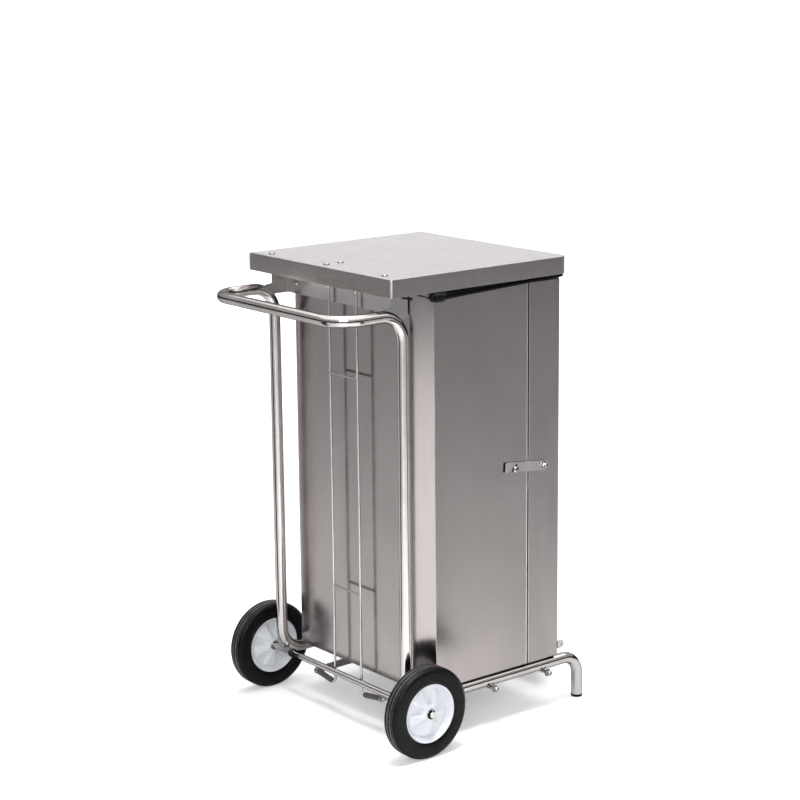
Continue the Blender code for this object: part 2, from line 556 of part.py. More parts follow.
def build_latches():
    half, pin_u = LATCH_HALF, NOTCH_U
    outline = arc((0, 0), half, 90, 270, 8)
    outline += [(pin_u - 0.0040, -half), (pin_u - 0.0040, 0.0050), (pin_u - 0.0010, 0.0075),
                (pin_u + 0.0022, 0.0050), (pin_u + 0.0022, -0.0012), (0.1035, -half + 0.0005),
                (LATCH_LENGTH, -half + 0.0045), (LATCH_LENGTH, half)]
    hole = arc((0, 0), LATCH_HOLE_R, 360, 30, 11)
    turn = Matrix.Rotation(LATCH_TILT, 4, "Z")
    for side, sign in SIDES:
        place = side_frame(sign * (BODY_X + LATCH_OFFSET + LATCH_T / 2), LATCH_Y, LATCH_Z) @ turn
        strip = as_mesh(plate(f"latch_strip_{side}", "steel_tube", [outline, hole], LATCH_T, place))
        tab = box(f"finger_tab_{side}", None, (0, 0, 0), (TAB_T, TAB_WIDTH, TAB_HEIGHT))
        tab.matrix_world = place @ Matrix.Translation(
            (LATCH_LENGTH - TAB_T / 2, 0.0030, sign * (TAB_HEIGHT / 2 - 0.0002)))
        combine(strip, tab, "UNION")
        turned(f"latch_nut_{side}", "steel_fastener",
               [(0, 0.0118)] + arc((0, 0.0056), 0.0062, 65, 10, 3)
               + [(0.0085, 0.0056), (0.0088, 0.0032), (0.0031, 0.0032), (0.0031, 0), (0, 0)],
               (sign * (BODY_X + GAP), LATCH_Y, LATCH_Z), (sign, 0, 0), 16)


build_frame()
build_wheels()
build_body()
build_bracket()
build_cord()
build_lid()
build_lid_rods()
build_pedal()
build_cross_rods()
build_door()
build_latches()
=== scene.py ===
"""Looks of a mobile stainless steel waste bin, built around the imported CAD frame.

Metres, in the CAD frame: +Z up, the door and pedal face -Y, the handle and wheels are at
+Y, and "left" is +X. Each visible piece is named, rides on a CAD body and has its own
procedural material.
"""
import math

import bmesh
import bpy
from mathutils import Matrix, Vector, noise


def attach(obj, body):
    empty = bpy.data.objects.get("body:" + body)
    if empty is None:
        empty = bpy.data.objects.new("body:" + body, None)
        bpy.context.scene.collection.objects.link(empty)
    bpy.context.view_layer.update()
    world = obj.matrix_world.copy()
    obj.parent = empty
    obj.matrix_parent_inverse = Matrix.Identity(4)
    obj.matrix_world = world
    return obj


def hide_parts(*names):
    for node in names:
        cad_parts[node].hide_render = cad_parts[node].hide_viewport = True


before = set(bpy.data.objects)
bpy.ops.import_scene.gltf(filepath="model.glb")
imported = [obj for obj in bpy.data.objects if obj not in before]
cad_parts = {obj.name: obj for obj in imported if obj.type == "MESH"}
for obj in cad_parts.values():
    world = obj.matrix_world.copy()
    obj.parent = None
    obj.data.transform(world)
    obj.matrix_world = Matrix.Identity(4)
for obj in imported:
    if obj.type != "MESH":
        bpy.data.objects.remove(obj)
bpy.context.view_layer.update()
SIDES = (("left", 1), ("right", -1))
TAU = 2 * math.pi

# ---- sizes shared with the CAD frame ---------------------------------------------------
SHEET = 0.0015
GAP = 0.0003                    # clearance between touching pieces
TUBE_R, POST_X, POST_Y, RAIL_Z, FOOT_Y = 0.0125, 0.226, 0.188, 0.100, -0.307
HANDLE_Y, HANDLE_Z = 0.350, 0.9405
FOOT_BEND, POST_BEND, HANDLE_BEND, TIP_H = 0.045, 0.056, 0.055, 0.007
WHEEL_R, WHEEL_X, WHEEL_W, RIM_R = 0.100, 0.283, 0.041, 0.064
BOSS_R, BOSS_SLOPE, PETAL_R, DISH_R = 0.0160, 0.0050, 0.0500, 0.0530
PETALS, PETAL_TURN, GROOVES = 5, math.radians(59), (0.0095, 0.0, -0.0095)
AXLE_Y, AXLE_R, AXLE_END, BUSH_R, COLLAR_X = 0.183, 0.007, 0.3105, 0.011, 0.190
BODY_X, BODY_FRONT, BODY_REAR, BODY_CHAMFER = 0.237, -0.239, 0.150, 0.036
BODY_BOTTOM, BODY_TOP = 0.118, 1.016
BODY_BEND, FRONT_BEND = 0.0026, 0.006
SEAM_REAR, SEAM_FRONT, HEM_R, SEAM_SHADE_R = -0.1445, -0.1475, 0.0014, 0.0020
DOOR_BOTTOM, DOOR_TOP, HEADER_BOTTOM = 0.119, 0.969, 0.9708
LID_X, LID_FRONT, LID_REAR = 0.250, -0.248, 0.236
LID_TOP, LID_SKIRT, LID_CORNER, LID_FOLD = 1.019, 0.0385, 0.018, 0.0024
WIRE_R, WIRE_X, WIRE_Y, WIRE_TOP_Y = 0.003, 0.048, 0.171, 0.177
WIRE_TOP, WIRE_END = 0.996, 0.1225
FOOT_OUTER, FOOT_INNER = 0.0770, 0.0675     # the rods' feet slope down towards the wires
CRANK_LOW, CRANK_HIGH = 0.960, 0.975
RUNG_R, RUNG_HEIGHTS = 0.0026, (0.774, 0.295)
SLEEVE_START, SLEEVE_END, SLEEVE_R = 0.0595, 0.1125, 0.0064
CROSS_RODS = (("pivot_rod", -0.047), ("stop_rod", -0.204))
CROSS_R, CROSS_Z, ROD_END = 0.004, 0.0832, 0.2395
LATCH_Y, LATCH_Z, LATCH_TILT = -0.191, 0.563, math.radians(6.5)
LATCH_HALF, LATCH_T, PIN_Y, PIN_Z = 0.011, 0.002, -0.108, 0.567
TAB_START, TAB_BEND, TAB_ANGLE = 0.1040, 0.0060, math.radians(10)
TREAD_FRONT, TREAD_Z = -0.3520, 0.0688
CORD_R = 0.0034
COIL_R, COIL_FRONT, COIL_REAR, COIL_Z = 0.0103, 0.095, 0.124, 0.9690
HOOK_Z, HOOK_WIRE_R = 0.972, 0.0015


# ---- meshes ----------------------------------------------------------------------------
def link(name, mesh, place=None):
    obj = bpy.data.objects.new(name, mesh)
    bpy.context.scene.collection.objects.link(obj)
    if place is not None:
        obj.matrix_world = place
    return obj


def smooth(mesh, angle):
    mesh.shade_smooth()
    mesh.set_sharp_from_angle(angle=math.radians(angle))


def to_mesh(name, shape):
    mesh = bpy.data.meshes.new(name)
    shape.to_mesh(mesh)
    shape.free()
    return mesh


def from_bmesh(name, shape, place=None, angle=35):
    bmesh.ops.recalc_face_normals(shape, faces=shape.faces)
    mesh = to_mesh(name, shape)
    smooth(mesh, angle)
    return link(name, mesh, place)


def bridge(shape, first, second):
    """Faces between two closed rings of equally many points."""
    count = len(first)
    for k in range(count):
        j = (k + 1) % count
        shape.faces.new((first[k], first[j], second[j], second[k]))


def aim(point, direction):
    """A frame at point whose +Z runs along direction."""
    turn = Vector(direction).to_track_quat("Z", "Y").to_matrix().to_4x4()
    return Matrix.Translation(point) @ turn


def side_frame(x, y=0.0, z=0.0):
    """A frame whose local XY plane is the upright plane at x: U is +Y and V is +Z."""
    turn = Matrix(((0, 0, 1), (1, 0, 0), (0, 1, 0))).to_4x4()
    return Matrix.Translation((x, y, z)) @ turn


def arc(centre, radius, start, end, steps):
    """Points on a circle between two angles in degrees."""
    angles = [math.radians(start + (end - start) * i / steps) for i in range(steps + 1)]
    return [(centre[0] + radius * math.cos(a), centre[1] + radius * math.sin(a)) for a in angles]


def rounded(points, radii, steps=12):
    """A path through points whose inner corners are arcs of the given radii."""
    points = [Vector(p) for p in points]
    path = [points[0]]
    for before, corner, after, radius in zip(points, points[1:], points[2:], radii):
        into, out = (before - corner).normalized(), (after - corner).normalized()
        half = into.angle(out) / 2
        centre = corner + (into + out).normalized() * radius / math.sin(half)
        first = (corner + into * radius / math.tan(half) - centre).normalized()
        last = (corner + out * radius / math.tan(half) - centre).normalized()
        path += [centre + first.slerp(last, i / steps) * radius for i in range(steps + 1)]
    return path + [points[-1]]


def mirrored(path):
    """The path, then its mirror image at -X on the way back."""
    return path + [Vector((-p.x, p.y, p.z)) for p in reversed(path)]


def refined(path, step):
    """The path with long straights cut into lengths of about step."""
    out = [path[0]]
    for a, b in zip(path, path[1:]):
        count = max(1, round((b - a).length / step))
        out += [a.lerp(b, i / count) for i in range(1, count + 1)]
    return out


def sweep(name, path, radius, sides=20, radii=None):
    """A capped round bar along a path. Its UVs are metres round and along the bar.

    radii gives a factor on the radius at each point of the path.
    """
    path = [Vector(p) for p in path]
    scale = radii or [1.0] * len(path)
    shape = bmesh.new()
    layer = shape.loops.layers.uv.new("UVMap")
    tangent = (path[1] - path[0]).normalized()
    side = tangent.orthogonal().normalized()
    rings, lengths, run = [], [], 0.0
    for i, point in enumerate(path):
        ahead = path[min(i + 1, len(path) - 1)] - path[max(i - 1, 0)]
        turned = ahead.normalized() if ahead.length > 0 else tangent
        side = tangent.rotation_difference(turned) @ side
        tangent = turned
        other = tangent.cross(side)
        run += (point - path[i - 1]).length if i else 0.0
        lengths.append(run)
        ring = []
        for k in range(sides):
            a = TAU * k / sides
            spoke = side * math.cos(a) + other * math.sin(a)
            ring.append(shape.verts.new(point + spoke * radius * scale[i]))
        rings.append(ring)
    for i in range(len(rings) - 1):
        for k in range(sides):
            j = (k + 1) % sides
            face = shape.faces.new((rings[i][k], rings[i][j], rings[i + 1][j], rings[i + 1][k]))
            for loop, (u, v) in zip(face.loops, ((k, i), (k + 1, i), (k + 1, i + 1), (k, i + 1))):
                loop[layer].uv = (TAU * radius * u / sides, lengths[v])
    shape.faces.new(list(reversed(rings[0])))
    shape.faces.new(rings[-1])
    return from_bmesh(name, shape, angle=60)


def revolve(name, profile, place, steps=48, ring=False, angle=35, shape=None):
    """A profile of (radius, height) turned about local Z; ring closes the profile on itself.

    Given a shape, it adds the turned faces to that shape instead of making an object.
    """
    keep = shape is not None
    shape = shape or bmesh.new()
    layer = shape.loops.layers.uv.get("UVMap") or shape.loops.layers.uv.new("UVMap")
    lengths = [0.0]
    for (r0, h0), (r1, h1) in zip(profile, profile[1:]):
        lengths.append(lengths[-1] + math.hypot(r1 - r0, h1 - h0))
    columns = []
    for k in range(steps):
        a = TAU * k / steps
        columns.append([None if r < 1e-7 else shape.verts.new((r * math.cos(a), r * math.sin(a), h))
                        for r, h in profile])
    poles = {i: shape.verts.new((0, 0, h)) for i, (r, h) in enumerate(profile) if r < 1e-7}
    count = len(profile) if ring else len(profile) - 1
    for k in range(steps):
        for i in range(count):
            j = (i + 1) % len(profile)
            here, there = columns[k], columns[(k + 1) % steps]
            corners = [(here[i] or poles.get(i), k, i), (there[i] or poles.get(i), k + 1, i),
                       (there[j] or poles.get(j), k + 1, j), (here[j] or poles.get(j), k, j)]
            unique = []
            for corner in corners:
                if corner[0] not in [c[0] for c in unique]:
                    unique.append(corner)
            if len(unique) < 3:
                continue
            face = shape.faces.new([c[0] for c in unique])
            for loop, (_, u, v) in zip(face.loops, unique):
                loop[layer].uv = (u / steps, lengths[v])
    return None if keep else from_bmesh(name, shape, place, angle)


def slab(name, outlines, thickness, place, cuts):
    """A flat plate: the first outline is its edge, the others are holes.

    cuts are the distances along U at which the plate gets an extra line of points to bend at.
    """
    data = bpy.data.curves.new(name, "CURVE")
    data.dimensions = "2D"
    data.fill_mode = "BOTH"
    data.extrude = thickness / 2
    for outline in outlines:
        spline = data.splines.new("POLY")
        spline.points.add(len(outline) - 1)
        spline.use_cyclic_u = True
        for point, (u, v) in zip(spline.points, outline):
            point.co = (u, v, 0, 1)
    helper = link(name + "_outline", data)
    bpy.context.view_layer.update()
    mesh = bpy.data.meshes.new_from_object(helper.evaluated_get(bpy.context.evaluated_depsgraph_get()))
    bpy.data.objects.remove(helper, do_unlink=True)
    shape = bmesh.new()
    shape.from_mesh(mesh)
    bmesh.ops.remove_doubles(shape, verts=shape.verts, dist=0.00001)
    for u in cuts:
        bmesh.ops.bisect_plane(shape, geom=shape.verts[:] + shape.edges[:] + shape.faces[:],
                               plane_co=(u, 0, 0), plane_no=(1, 0, 0))
    return flatten(soften(from_bmesh(name, shape, place), 0.0003))


def bevelled(obj, width, angle):
    """Round the edges that are sharper than angle."""
    edge = obj.modifiers.new("edge", "BEVEL")
    edge.width = width
    edge.segments = 2
    edge.limit_method = "ANGLE"
    edge.angle_limit = math.radians(angle)


def soften(obj, width):
    """Round the sharp edges of a piece. Welding first joins the split corners of a CAD node."""
    weld = obj.modifiers.new("weld", "WELD")
    weld.merge_threshold = 0.00002
    bevelled(obj, width, 30)
    return obj


def flatten(obj):
    """Let large flat faces keep their own normals beside small rounded edges."""
    step = obj.modifiers.new("flat", "WEIGHTED_NORMAL")
    step.keep_sharp = True
    return obj


def folded_sheet(obj, even):
    """Give a surface the thickness of the sheet, inwards, and slightly rounded edges."""
    thick = obj.modifiers.new("thickness", "SOLIDIFY")
    thick.thickness = SHEET
    thick.offset = -1
    thick.use_even_offset = even
    bevelled(obj, 0.0004, 50)
    return flatten(obj)


def sheet_wall(name, path, low, high):
    """An upright folded sheet along a plan path, its thickness on the path's left."""
    shape = bmesh.new()
    columns = [[shape.verts.new((x, y, z)) for z in (low, high)] for x, y in path]
    for a, b in zip(columns, columns[1:]):
        shape.faces.new((a[0], b[0], b[1], a[1]))
    mesh = to_mesh(name, shape)
    smooth(mesh, 30)
    return folded_sheet(link(name, mesh), True)


def cut(obj, tool):
    """Cut the hidden tool out of obj."""
    tool.hide_render = True
    tool.hide_viewport = True
    step = obj.modifiers.new("cut", "BOOLEAN")
    step.object = tool
    step.operation = "DIFFERENCE"
    step.solver = "EXACT"


def baked(obj):
    """obj with its modifiers applied and its helper tools deleted."""
    bpy.context.view_layer.update()
    tools = [m.object for m in obj.modifiers if m.type == "BOOLEAN"]
    mesh = bpy.data.meshes.new_from_object(obj.evaluated_get(bpy.context.evaluated_depsgraph_get()))
    obj.modifiers.clear()
    obj.data = mesh
    for tool in tools:
        bpy.data.objects.remove(tool, do_unlink=True)
    return obj


def joined(name, objects):
    """One object made of several, in the CAD frame."""
    shape = bmesh.new()
    for obj in objects:
        baked(obj)
        obj.data.transform(obj.matrix_world)
        shape.from_mesh(obj.data)
        bpy.data.objects.remove(obj, do_unlink=True)
    return link(name, to_mesh(name, shape))


# ---- materials -------------------------------------------------------------------------
EDGE_TINT = (0.25, 0.24, 0.24, 1)       # darkens polished metal where it turns away


class Surface:
    """A node material under construction, with short ways to add texture nodes."""

    def __init__(self, name, colour, roughness, metallic=0.0):
        self.material = bpy.data.materials.new(name)
        self.material.use_nodes = True
        self.tree = self.material.node_tree
        self.shader = self.tree.nodes["Principled BSDF"]
        self.put("Base Color", (*colour, 1))
        self.put("Roughness", roughness)
        self.put("Metallic", metallic)
        self.normal = None

    def put(self, name, value):
        """Set an input of the shader to a constant."""
        self.shader.inputs[name].default_value = value

    def join(self, source, target):
        self.tree.links.new(source, target)

    def node(self, kind, values):
        """A new shader node of a kind, with the named inputs set."""
        node = self.tree.nodes.new("ShaderNode" + kind)
        for name, value in values.items():
            node.inputs[name].default_value = value
        return node

    def coords(self, kind="Object", scale=(1, 1, 1), turn=(0, 0, 0)):
        source = self.node("TexCoord", {})
        mapping = self.node("Mapping", {"Scale": scale, "Rotation": turn})
        self.join(source.outputs[kind], mapping.inputs["Vector"])
        return mapping.outputs["Vector"]

    def noise(self, coords, detail=3.0, roughness=0.55, distortion=0.0):
        node = self.node("TexNoise", {"Scale": 1.0, "Detail": detail, "Roughness": roughness,
                                      "Distortion": distortion})
        self.join(coords, node.inputs["Vector"])
        return node.outputs["Fac"]

    def speckle(self, scale, **settings):
        """Noise of one scale along all three axes."""
        return self.noise(self.coords(scale=(scale, scale, scale)), **settings)

    def ranged(self, value, low, high, to_low=0.0, to_high=1.0):
        """value moved from the range low to high into the range to_low to to_high."""
        node = self.node("MapRange", {"From Min": low, "From Max": high,
                                      "To Min": to_low, "To Max": to_high})
        self.join(value, node.inputs["Value"])
        return node.outputs["Result"]

    def maths(self, kind, a, b):
        node = self.node("Math", {})
        node.operation = kind
        self.join(a, node.inputs[0])
        self.join(b, node.inputs[1])
        return node.outputs["Value"]

    def tint(self, value, dark, light):
        """Base colour that runs from dark to light as value goes from 0 to 1."""
        node = self.node("Mix", {})
        node.data_type = "RGBA"
        node.inputs["A"].default_value = (*dark, 1)
        node.inputs["B"].default_value = (*light, 1)
        self.join(value, node.inputs["Factor"])
        self.join(node.outputs["Result"], self.shader.inputs["Base Color"])

    def rough(self, value):
        self.join(value, self.shader.inputs["Roughness"])

    def bump(self, height, distance, strength=1.0):
        node = self.node("Bump", {"Strength": strength, "Distance": distance})
        self.join(height, node.inputs["Height"])
        if self.normal is not None:
            self.join(self.normal, node.inputs["Normal"])
        self.normal = node.outputs["Normal"]
        self.join(self.normal, self.shader.inputs["Normal"])


def shaded(colour, factor):
    return tuple(min(1.0, c * factor) for c in colour)


def steel_sheet(name, colour, roughness, grain=(1300, 1300, 16), marks=0.10, wave=0.3):
    """Satin stainless sheet: rolled grain, cloudy handling marks and a slightly wavy surface."""
    surface = Surface(name, colour, roughness, 1.0)
    fine = surface.noise(surface.coords(scale=grain), detail=4, roughness=0.7)
    streaks = surface.noise(surface.coords(scale=tuple(g * 0.2 for g in grain)), detail=3)
    clouds = surface.noise(surface.coords(scale=(5, 5, 3.2)), detail=6, roughness=0.62, distortion=0.8)
    spots = surface.speckle(260, detail=2)
    streaked = surface.ranged(streaks, 0.3, 0.7, 0, 0.25)
    mixed = surface.maths("ADD", streaked, surface.ranged(clouds, 0.38, 0.62, 0, 0.75))
    surface.tint(mixed, shaded(colour, 1 - marks), shaded(colour, 1 + marks * 0.8))
    worn = surface.ranged(clouds, 0.32, 0.68, roughness - marks * 0.25, roughness + marks * 0.5)
    surface.rough(surface.maths("ADD", worn, surface.ranged(fine, 0.3, 0.7, -0.03, 0.03)))
    surface.bump(surface.noise(surface.coords(scale=(3.1, 3.1, 2.2)), detail=1), 0.004 * wave, 0.4)
    surface.bump(fine, 0.00002, 0.5)
    surface.bump(spots, 0.00001, 0.4)
    return surface.material


def polished_steel(name, colour, roughness):
    """Bright drawn tube or wire: fine lines along it, faint tarnish, made for swept UVs."""
    surface = Surface(name, colour, roughness, 1.0)
    lines = surface.noise(surface.coords("UV", (420, 5, 1)), detail=4, roughness=0.7)
    tarnish = surface.noise(surface.coords(scale=(14, 14, 9)), detail=5, distortion=0.5)
    surface.tint(surface.ranged(tarnish, 0.35, 0.65), shaded(colour, 0.9), shaded(colour, 1.04))
    base = surface.ranged(tarnish, 0.35, 0.7, roughness - 0.02, roughness + 0.05)
    surface.rough(surface.maths("ADD", base, surface.ranged(lines, 0.3, 0.7, -0.02, 0.03)))
    surface.put("Specular Tint", EDGE_TINT)
    surface.bump(lines, 0.00001, 0.3)
    surface.bump(surface.noise(surface.coords(scale=(30, 30, 12)), detail=2), 0.0003, 0.15)
    return surface.material


def cast_steel(name, colour, roughness):
    """Small turned or pressed steel pieces: even grain with darker worn patches."""
    surface = Surface(name, colour, roughness, 1.0)
    grain = surface.speckle(900, detail=3)
    dull = surface.speckle(70, detail=4)
    surface.tint(surface.ranged(dull, 0.35, 0.65), shaded(colour, 0.78), shaded(colour, 1.05))
    surface.rough(surface.ranged(dull, 0.3, 0.7, roughness - 0.05, roughness + 0.1))
    surface.bump(grain, 0.00004, 0.4)
    surface.put("Specular Tint", EDGE_TINT)
    return surface.material


def black_rubber(name, colour, roughness, dust=0.02, gloss=0.15):
    """Moulded rubber with a fine pebble, dull scuffs and a trace of dust."""
    surface = Surface(name, colour, roughness)
    surface.put("Specular IOR Level", gloss)
    scuffs = surface.speckle(26, detail=5, roughness=0.65)
    surface.tint(surface.ranged(scuffs, 0.5, 0.8), colour, tuple(c + dust for c in colour))
    surface.rough(surface.ranged(scuffs, 0.3, 0.7, roughness - 0.06, roughness + 0.12))
    surface.bump(surface.speckle(1100, detail=2), 0.00008, 0.35)
    return surface.material


def tyre_rubber(name):
    """Black rubber with a painted highlight: the tops of the tread ribs are painted grey, broken up by
    scuffs, while their grooves and the sidewalls stay black.
    """
    surface = Surface(name, (0.003, 0.003, 0.0032), 0.30)
    surface.put("Specular IOR Level", 0.15)
    length = surface.node("VectorMath", {})
    length.operation = "LENGTH"
    surface.join(surface.coords(scale=(1, 1, 0)), length.inputs[0])
    # painted highlight: the outermost radius, the tops of the tread ribs, is painted light grey
    worn = surface.ranged(length.outputs["Value"], 0.0988, 0.0998)
    scuffs = surface.speckle(40, detail=5, roughness=0.65)
    mixed = surface.maths("MULTIPLY", worn, surface.ranged(scuffs, 0.3, 0.6, 0.35, 1.0))
    surface.tint(mixed, (0.003, 0.003, 0.0032), (0.085, 0.083, 0.080))
    surface.rough(surface.ranged(scuffs, 0.3, 0.7, 0.24, 0.42))
    surface.bump(surface.speckle(1100, detail=2), 0.00008, 0.35)
    return surface.material


def hub_plastic(name):
    """White moulded plastic with a faint grain and grey handling marks."""
    colour = (0.70, 0.72, 0.76)
    surface = Surface(name, colour, 0.36)
    clouds = surface.speckle(34, detail=5, roughness=0.6)
    surface.tint(surface.ranged(clouds, 0.25, 0.55), shaded(colour, 0.93), colour)
    surface.rough(surface.ranged(clouds, 0.3, 0.7, 0.42, 0.30))
    surface.bump(surface.speckle(600, detail=2), 0.00005, 0.3)
    return surface.material


def braided_cord(name):
    """Black braid: two sets of slanting threads, from swept UVs in metres."""
    surface = Surface(name, (0.006, 0.006, 0.007), 0.75)
    threads = []
    for slant in (1, -1):
        turn = (0, 0, slant * math.radians(38))
        node = surface.node("TexWave", {"Scale": 190})
        surface.join(surface.coords("UV", (1, 1, 1), turn), node.inputs["Vector"])
        threads.append(node.outputs["Fac"])
    weave = surface.maths("MAXIMUM", *threads)
    surface.tint(weave, (0.0006, 0.0006, 0.0006), (0.006, 0.006, 0.0065))
    fuzz = surface.speckle(1500, detail=2)
    surface.rough(surface.ranged(fuzz, 0.3, 0.7, 0.6, 0.9))
    surface.bump(weave, 0.0003, 0.8)
    surface.bump(fuzz, 0.0001, 0.5)
    surface.put("Specular IOR Level", 0.1)
    return surface.material


BODY_STEEL = (0.387, 0.356, 0.353)
ACROSS = (16, 1300, 1300)       # grain that runs along X, not up and down
MATERIALS = {
    "body": steel_sheet("satin_body_steel", BODY_STEEL, 0.17),
    "door": steel_sheet("satin_door_steel", shaded(BODY_STEEL, 0.97), 0.18),
    "lid": steel_sheet("satin_lid_steel", (0.465, 0.439, 0.435), 0.27, ACROSS, marks=0.022, wave=0.15),
    "bracket": steel_sheet("bracket_steel", (0.55, 0.53, 0.525), 0.22, ACROSS),
    "tube": polished_steel("bright_tube", (0.60, 0.575, 0.565), 0.11),
    "wire": polished_steel("bright_wire", (0.60, 0.585, 0.575), 0.13),
    "fastener": cast_steel("fastener_steel", (0.47, 0.455, 0.45), 0.16),
    # near-white steel for the lid's rear corner welds: a painted highlight down each corner
    "weld": cast_steel("weld_bead_painted_highlight", (0.90, 0.885, 0.88), 0.40),
    "rubber": tyre_rubber("tyre_rubber"),
    "tip": black_rubber("foot_rubber", (0.008, 0.008, 0.008), 0.5),
    "sleeve": black_rubber("sleeve_rubber", (0.105, 0.096, 0.093), 0.5, 0.05),
    "pedal": steel_sheet("pedal_steel", (0.30, 0.285, 0.28), 0.36),
    "hub": hub_plastic("hub_plastic"),
    "cord": braided_cord("braided_cord"),
    # black coated hook wire; the same black paints the retaining rings round the axle ends as painted
    # shade
    "black_wire_and_shade": black_rubber("black_coated_wire_and_painted_shade", (0.0012, 0.0012, 0.0014), 0.14, 0.001, 0.3),
}


def finish_piece(obj, material, body, slot, *nodes):
    """Give a piece its material, its body and the CAD nodes that it stands for. The slot argument is not
    used.
    """
    obj.data.materials.clear()
    obj.data.materials.append(MATERIALS[material])
    if nodes:
        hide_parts(*nodes)
    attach(obj, body)
    return obj


def dress(node, material, bevel=0.0):
    """Give a CAD node that stays in view a material, and rounded edges."""
    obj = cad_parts[node]
    obj.data.materials.clear()
    obj.data.materials.append(MATERIALS[material])
    if bevel:
        soften(obj, bevel)


# ---- frame, feet and running gear -------------------------------------------------------
def make_frame_tube():
    half = rounded([(POST_X, FOOT_Y, TIP_H - 0.001), (POST_X, FOOT_Y, RAIL_Z), (POST_X, POST_Y, RAIL_Z),
                    (POST_X, POST_Y, HANDLE_Z), (POST_X, HANDLE_Y, HANDLE_Z), (0, HANDLE_Y, HANDLE_Z)],
                   (FOOT_BEND, POST_BEND, POST_BEND, HANDLE_BEND))
    path = refined(mirrored(half[:-1]), 0.06)
    finish_piece(sweep("bent_frame_tube", path, TUBE_R, 32), "tube", "cart", "steel_tube", "frame_tube")
    for side, sign in SIDES:
        tip = revolve(f"foot_ferrule_{side}",
                      [(0, TIP_H), (TUBE_R - 0.001, TIP_H), (TUBE_R + 0.0003, TIP_H - 0.0006),
                       (TUBE_R + 0.0005, 0.0022), (TUBE_R, 0.0008), (TUBE_R - 0.001, 0), (0, 0)],
                      Matrix.Translation((sign * POST_X, FOOT_Y, 0)), 32)
        finish_piece(tip, "tip", "cart", "rubber", f"foot_tip_{side}")


def tyre_profile():
    """Section of a solid tyre: bead lip, sidewall with a moulded line, shoulder, grooved tread."""
    half = WHEEL_W / 2
    side = [(RIM_R, half - 0.0050), (RIM_R + 0.0012, half - 0.0022), (RIM_R + 0.0035, half - 0.0008),
            (0.0715, half - 0.0002), (0.0725, half - 0.0010), (0.0735, half - 0.0003), (0.0790, half),
            (0.0850, half - 0.0006)]
    side += arc((0.0885, half - 0.0105), 0.0100, 85, 8, 9)
    tread = []
    for centre in GROOVES:
        tread += [(0.0998, centre + 0.0026), (0.0993, centre + 0.0018), (0.0980, centre + 0.0012),
                  (0.0980, centre - 0.0012), (0.0993, centre - 0.0018), (0.0998, centre - 0.0026)]
        if centre != GROOVES[-1]:
            tread.append((WHEEL_R, centre - 0.0047))
    other = [(r, -h) for r, h in reversed(side)]
    return side + [(0.0992, 0.0135)] + tread + [(0.0992, -0.0135)] + other


def petal_height(radius, angle):
    """Height of the hub's face: a boss, five tapering petals, pockets and a dished rim."""
    half = WHEEL_W / 2
    pocket = half - 0.0165
    if radius < BOSS_R:
        return half - 0.0012
    if radius > DISH_R:
        return pocket + 0.0140 * min(1.0, (radius - DISH_R) / 0.0085)
    spread = TAU / PETALS
    away = abs((angle + spread / 2) % spread - spread / 2)
    flank = min(1.0, max(0.0, (0.40 - away) / 0.15))
    top = half - 0.0025 - 0.0105 * (radius - BOSS_R) / (PETAL_R - BOSS_R)
    if radius > PETAL_R:
        flank *= max(0.0, 1 - (radius - PETAL_R) / 0.0028)
    if radius < BOSS_R + BOSS_SLOPE:
        pocket += (top - pocket) * (BOSS_R + BOSS_SLOPE - radius) / BOSS_SLOPE
    return pocket + (top - pocket) * flank


def make_hub(side, sign):
    """The hub, with its petals on both faces."""
    radii = [0.0113, 0.0135, 0.0158, 0.0162, 0.0175, 0.0190, 0.0210, 0.0240, 0.0280, 0.0320, 0.0360,
             0.0400, 0.0440, 0.0480, 0.0498, 0.0505, 0.0515, 0.0528, 0.0535, 0.0560, 0.0590, 0.0614,
             0.0622, 0.0637]
    steps = 150
    shape = bmesh.new()
    faces = []
    for flip in (1, -1):
        grid = []
        for radius in radii:
            ring = []
            for k in range(steps):
                a = TAU * k / steps
                h = petal_height(radius, a - PETAL_TURN)
                ring.append(shape.verts.new((flip * h, radius * math.cos(a), radius * math.sin(a))))
            grid.append(ring)
        faces.append(grid)
    for grid in faces:
        for inner, outer in zip(grid, grid[1:]):
            bridge(shape, inner, outer)
    for row in (0, -1):
        bridge(shape, faces[0][row], faces[1][row])
    place = Matrix.Translation((sign * WHEEL_X, AXLE_Y, WHEEL_R))
    hub = from_bmesh(f"petal_hub_{side}", shape, place, 28)
    finish_piece(hub, "hub", f"wheel_{side}", "hub_plastic", f"hub_{side}")


def make_wheels():
    half = WHEEL_W / 2
    for side, sign in SIDES:
        place = aim((sign * WHEEL_X, AXLE_Y, WHEEL_R), (sign, 0, 0))
        tyre = revolve(f"grooved_tyre_{side}", tyre_profile(), place, 96, ring=True, angle=30)
        finish_piece(tyre, "rubber", f"wheel_{side}", "rubber", f"tyre_{side}")
        make_hub(side, sign)
        bush_profile = [(0.0076, half), (0.0105, half), (BUSH_R, half - 0.0006),
                        (BUSH_R, 0.0006 - half), (0.0105, -half), (0.0076, -half),
                        (0.0072, 0.0006 - half), (0.0072, half - 0.0006)]
        bush = revolve(f"steel_bush_{side}", bush_profile, place, 40, ring=True)
        finish_piece(bush, "fastener", f"wheel_{side}", "steel_fastener", f"bush_{side}")
        make_axle_end(side, sign)
    make_axle()


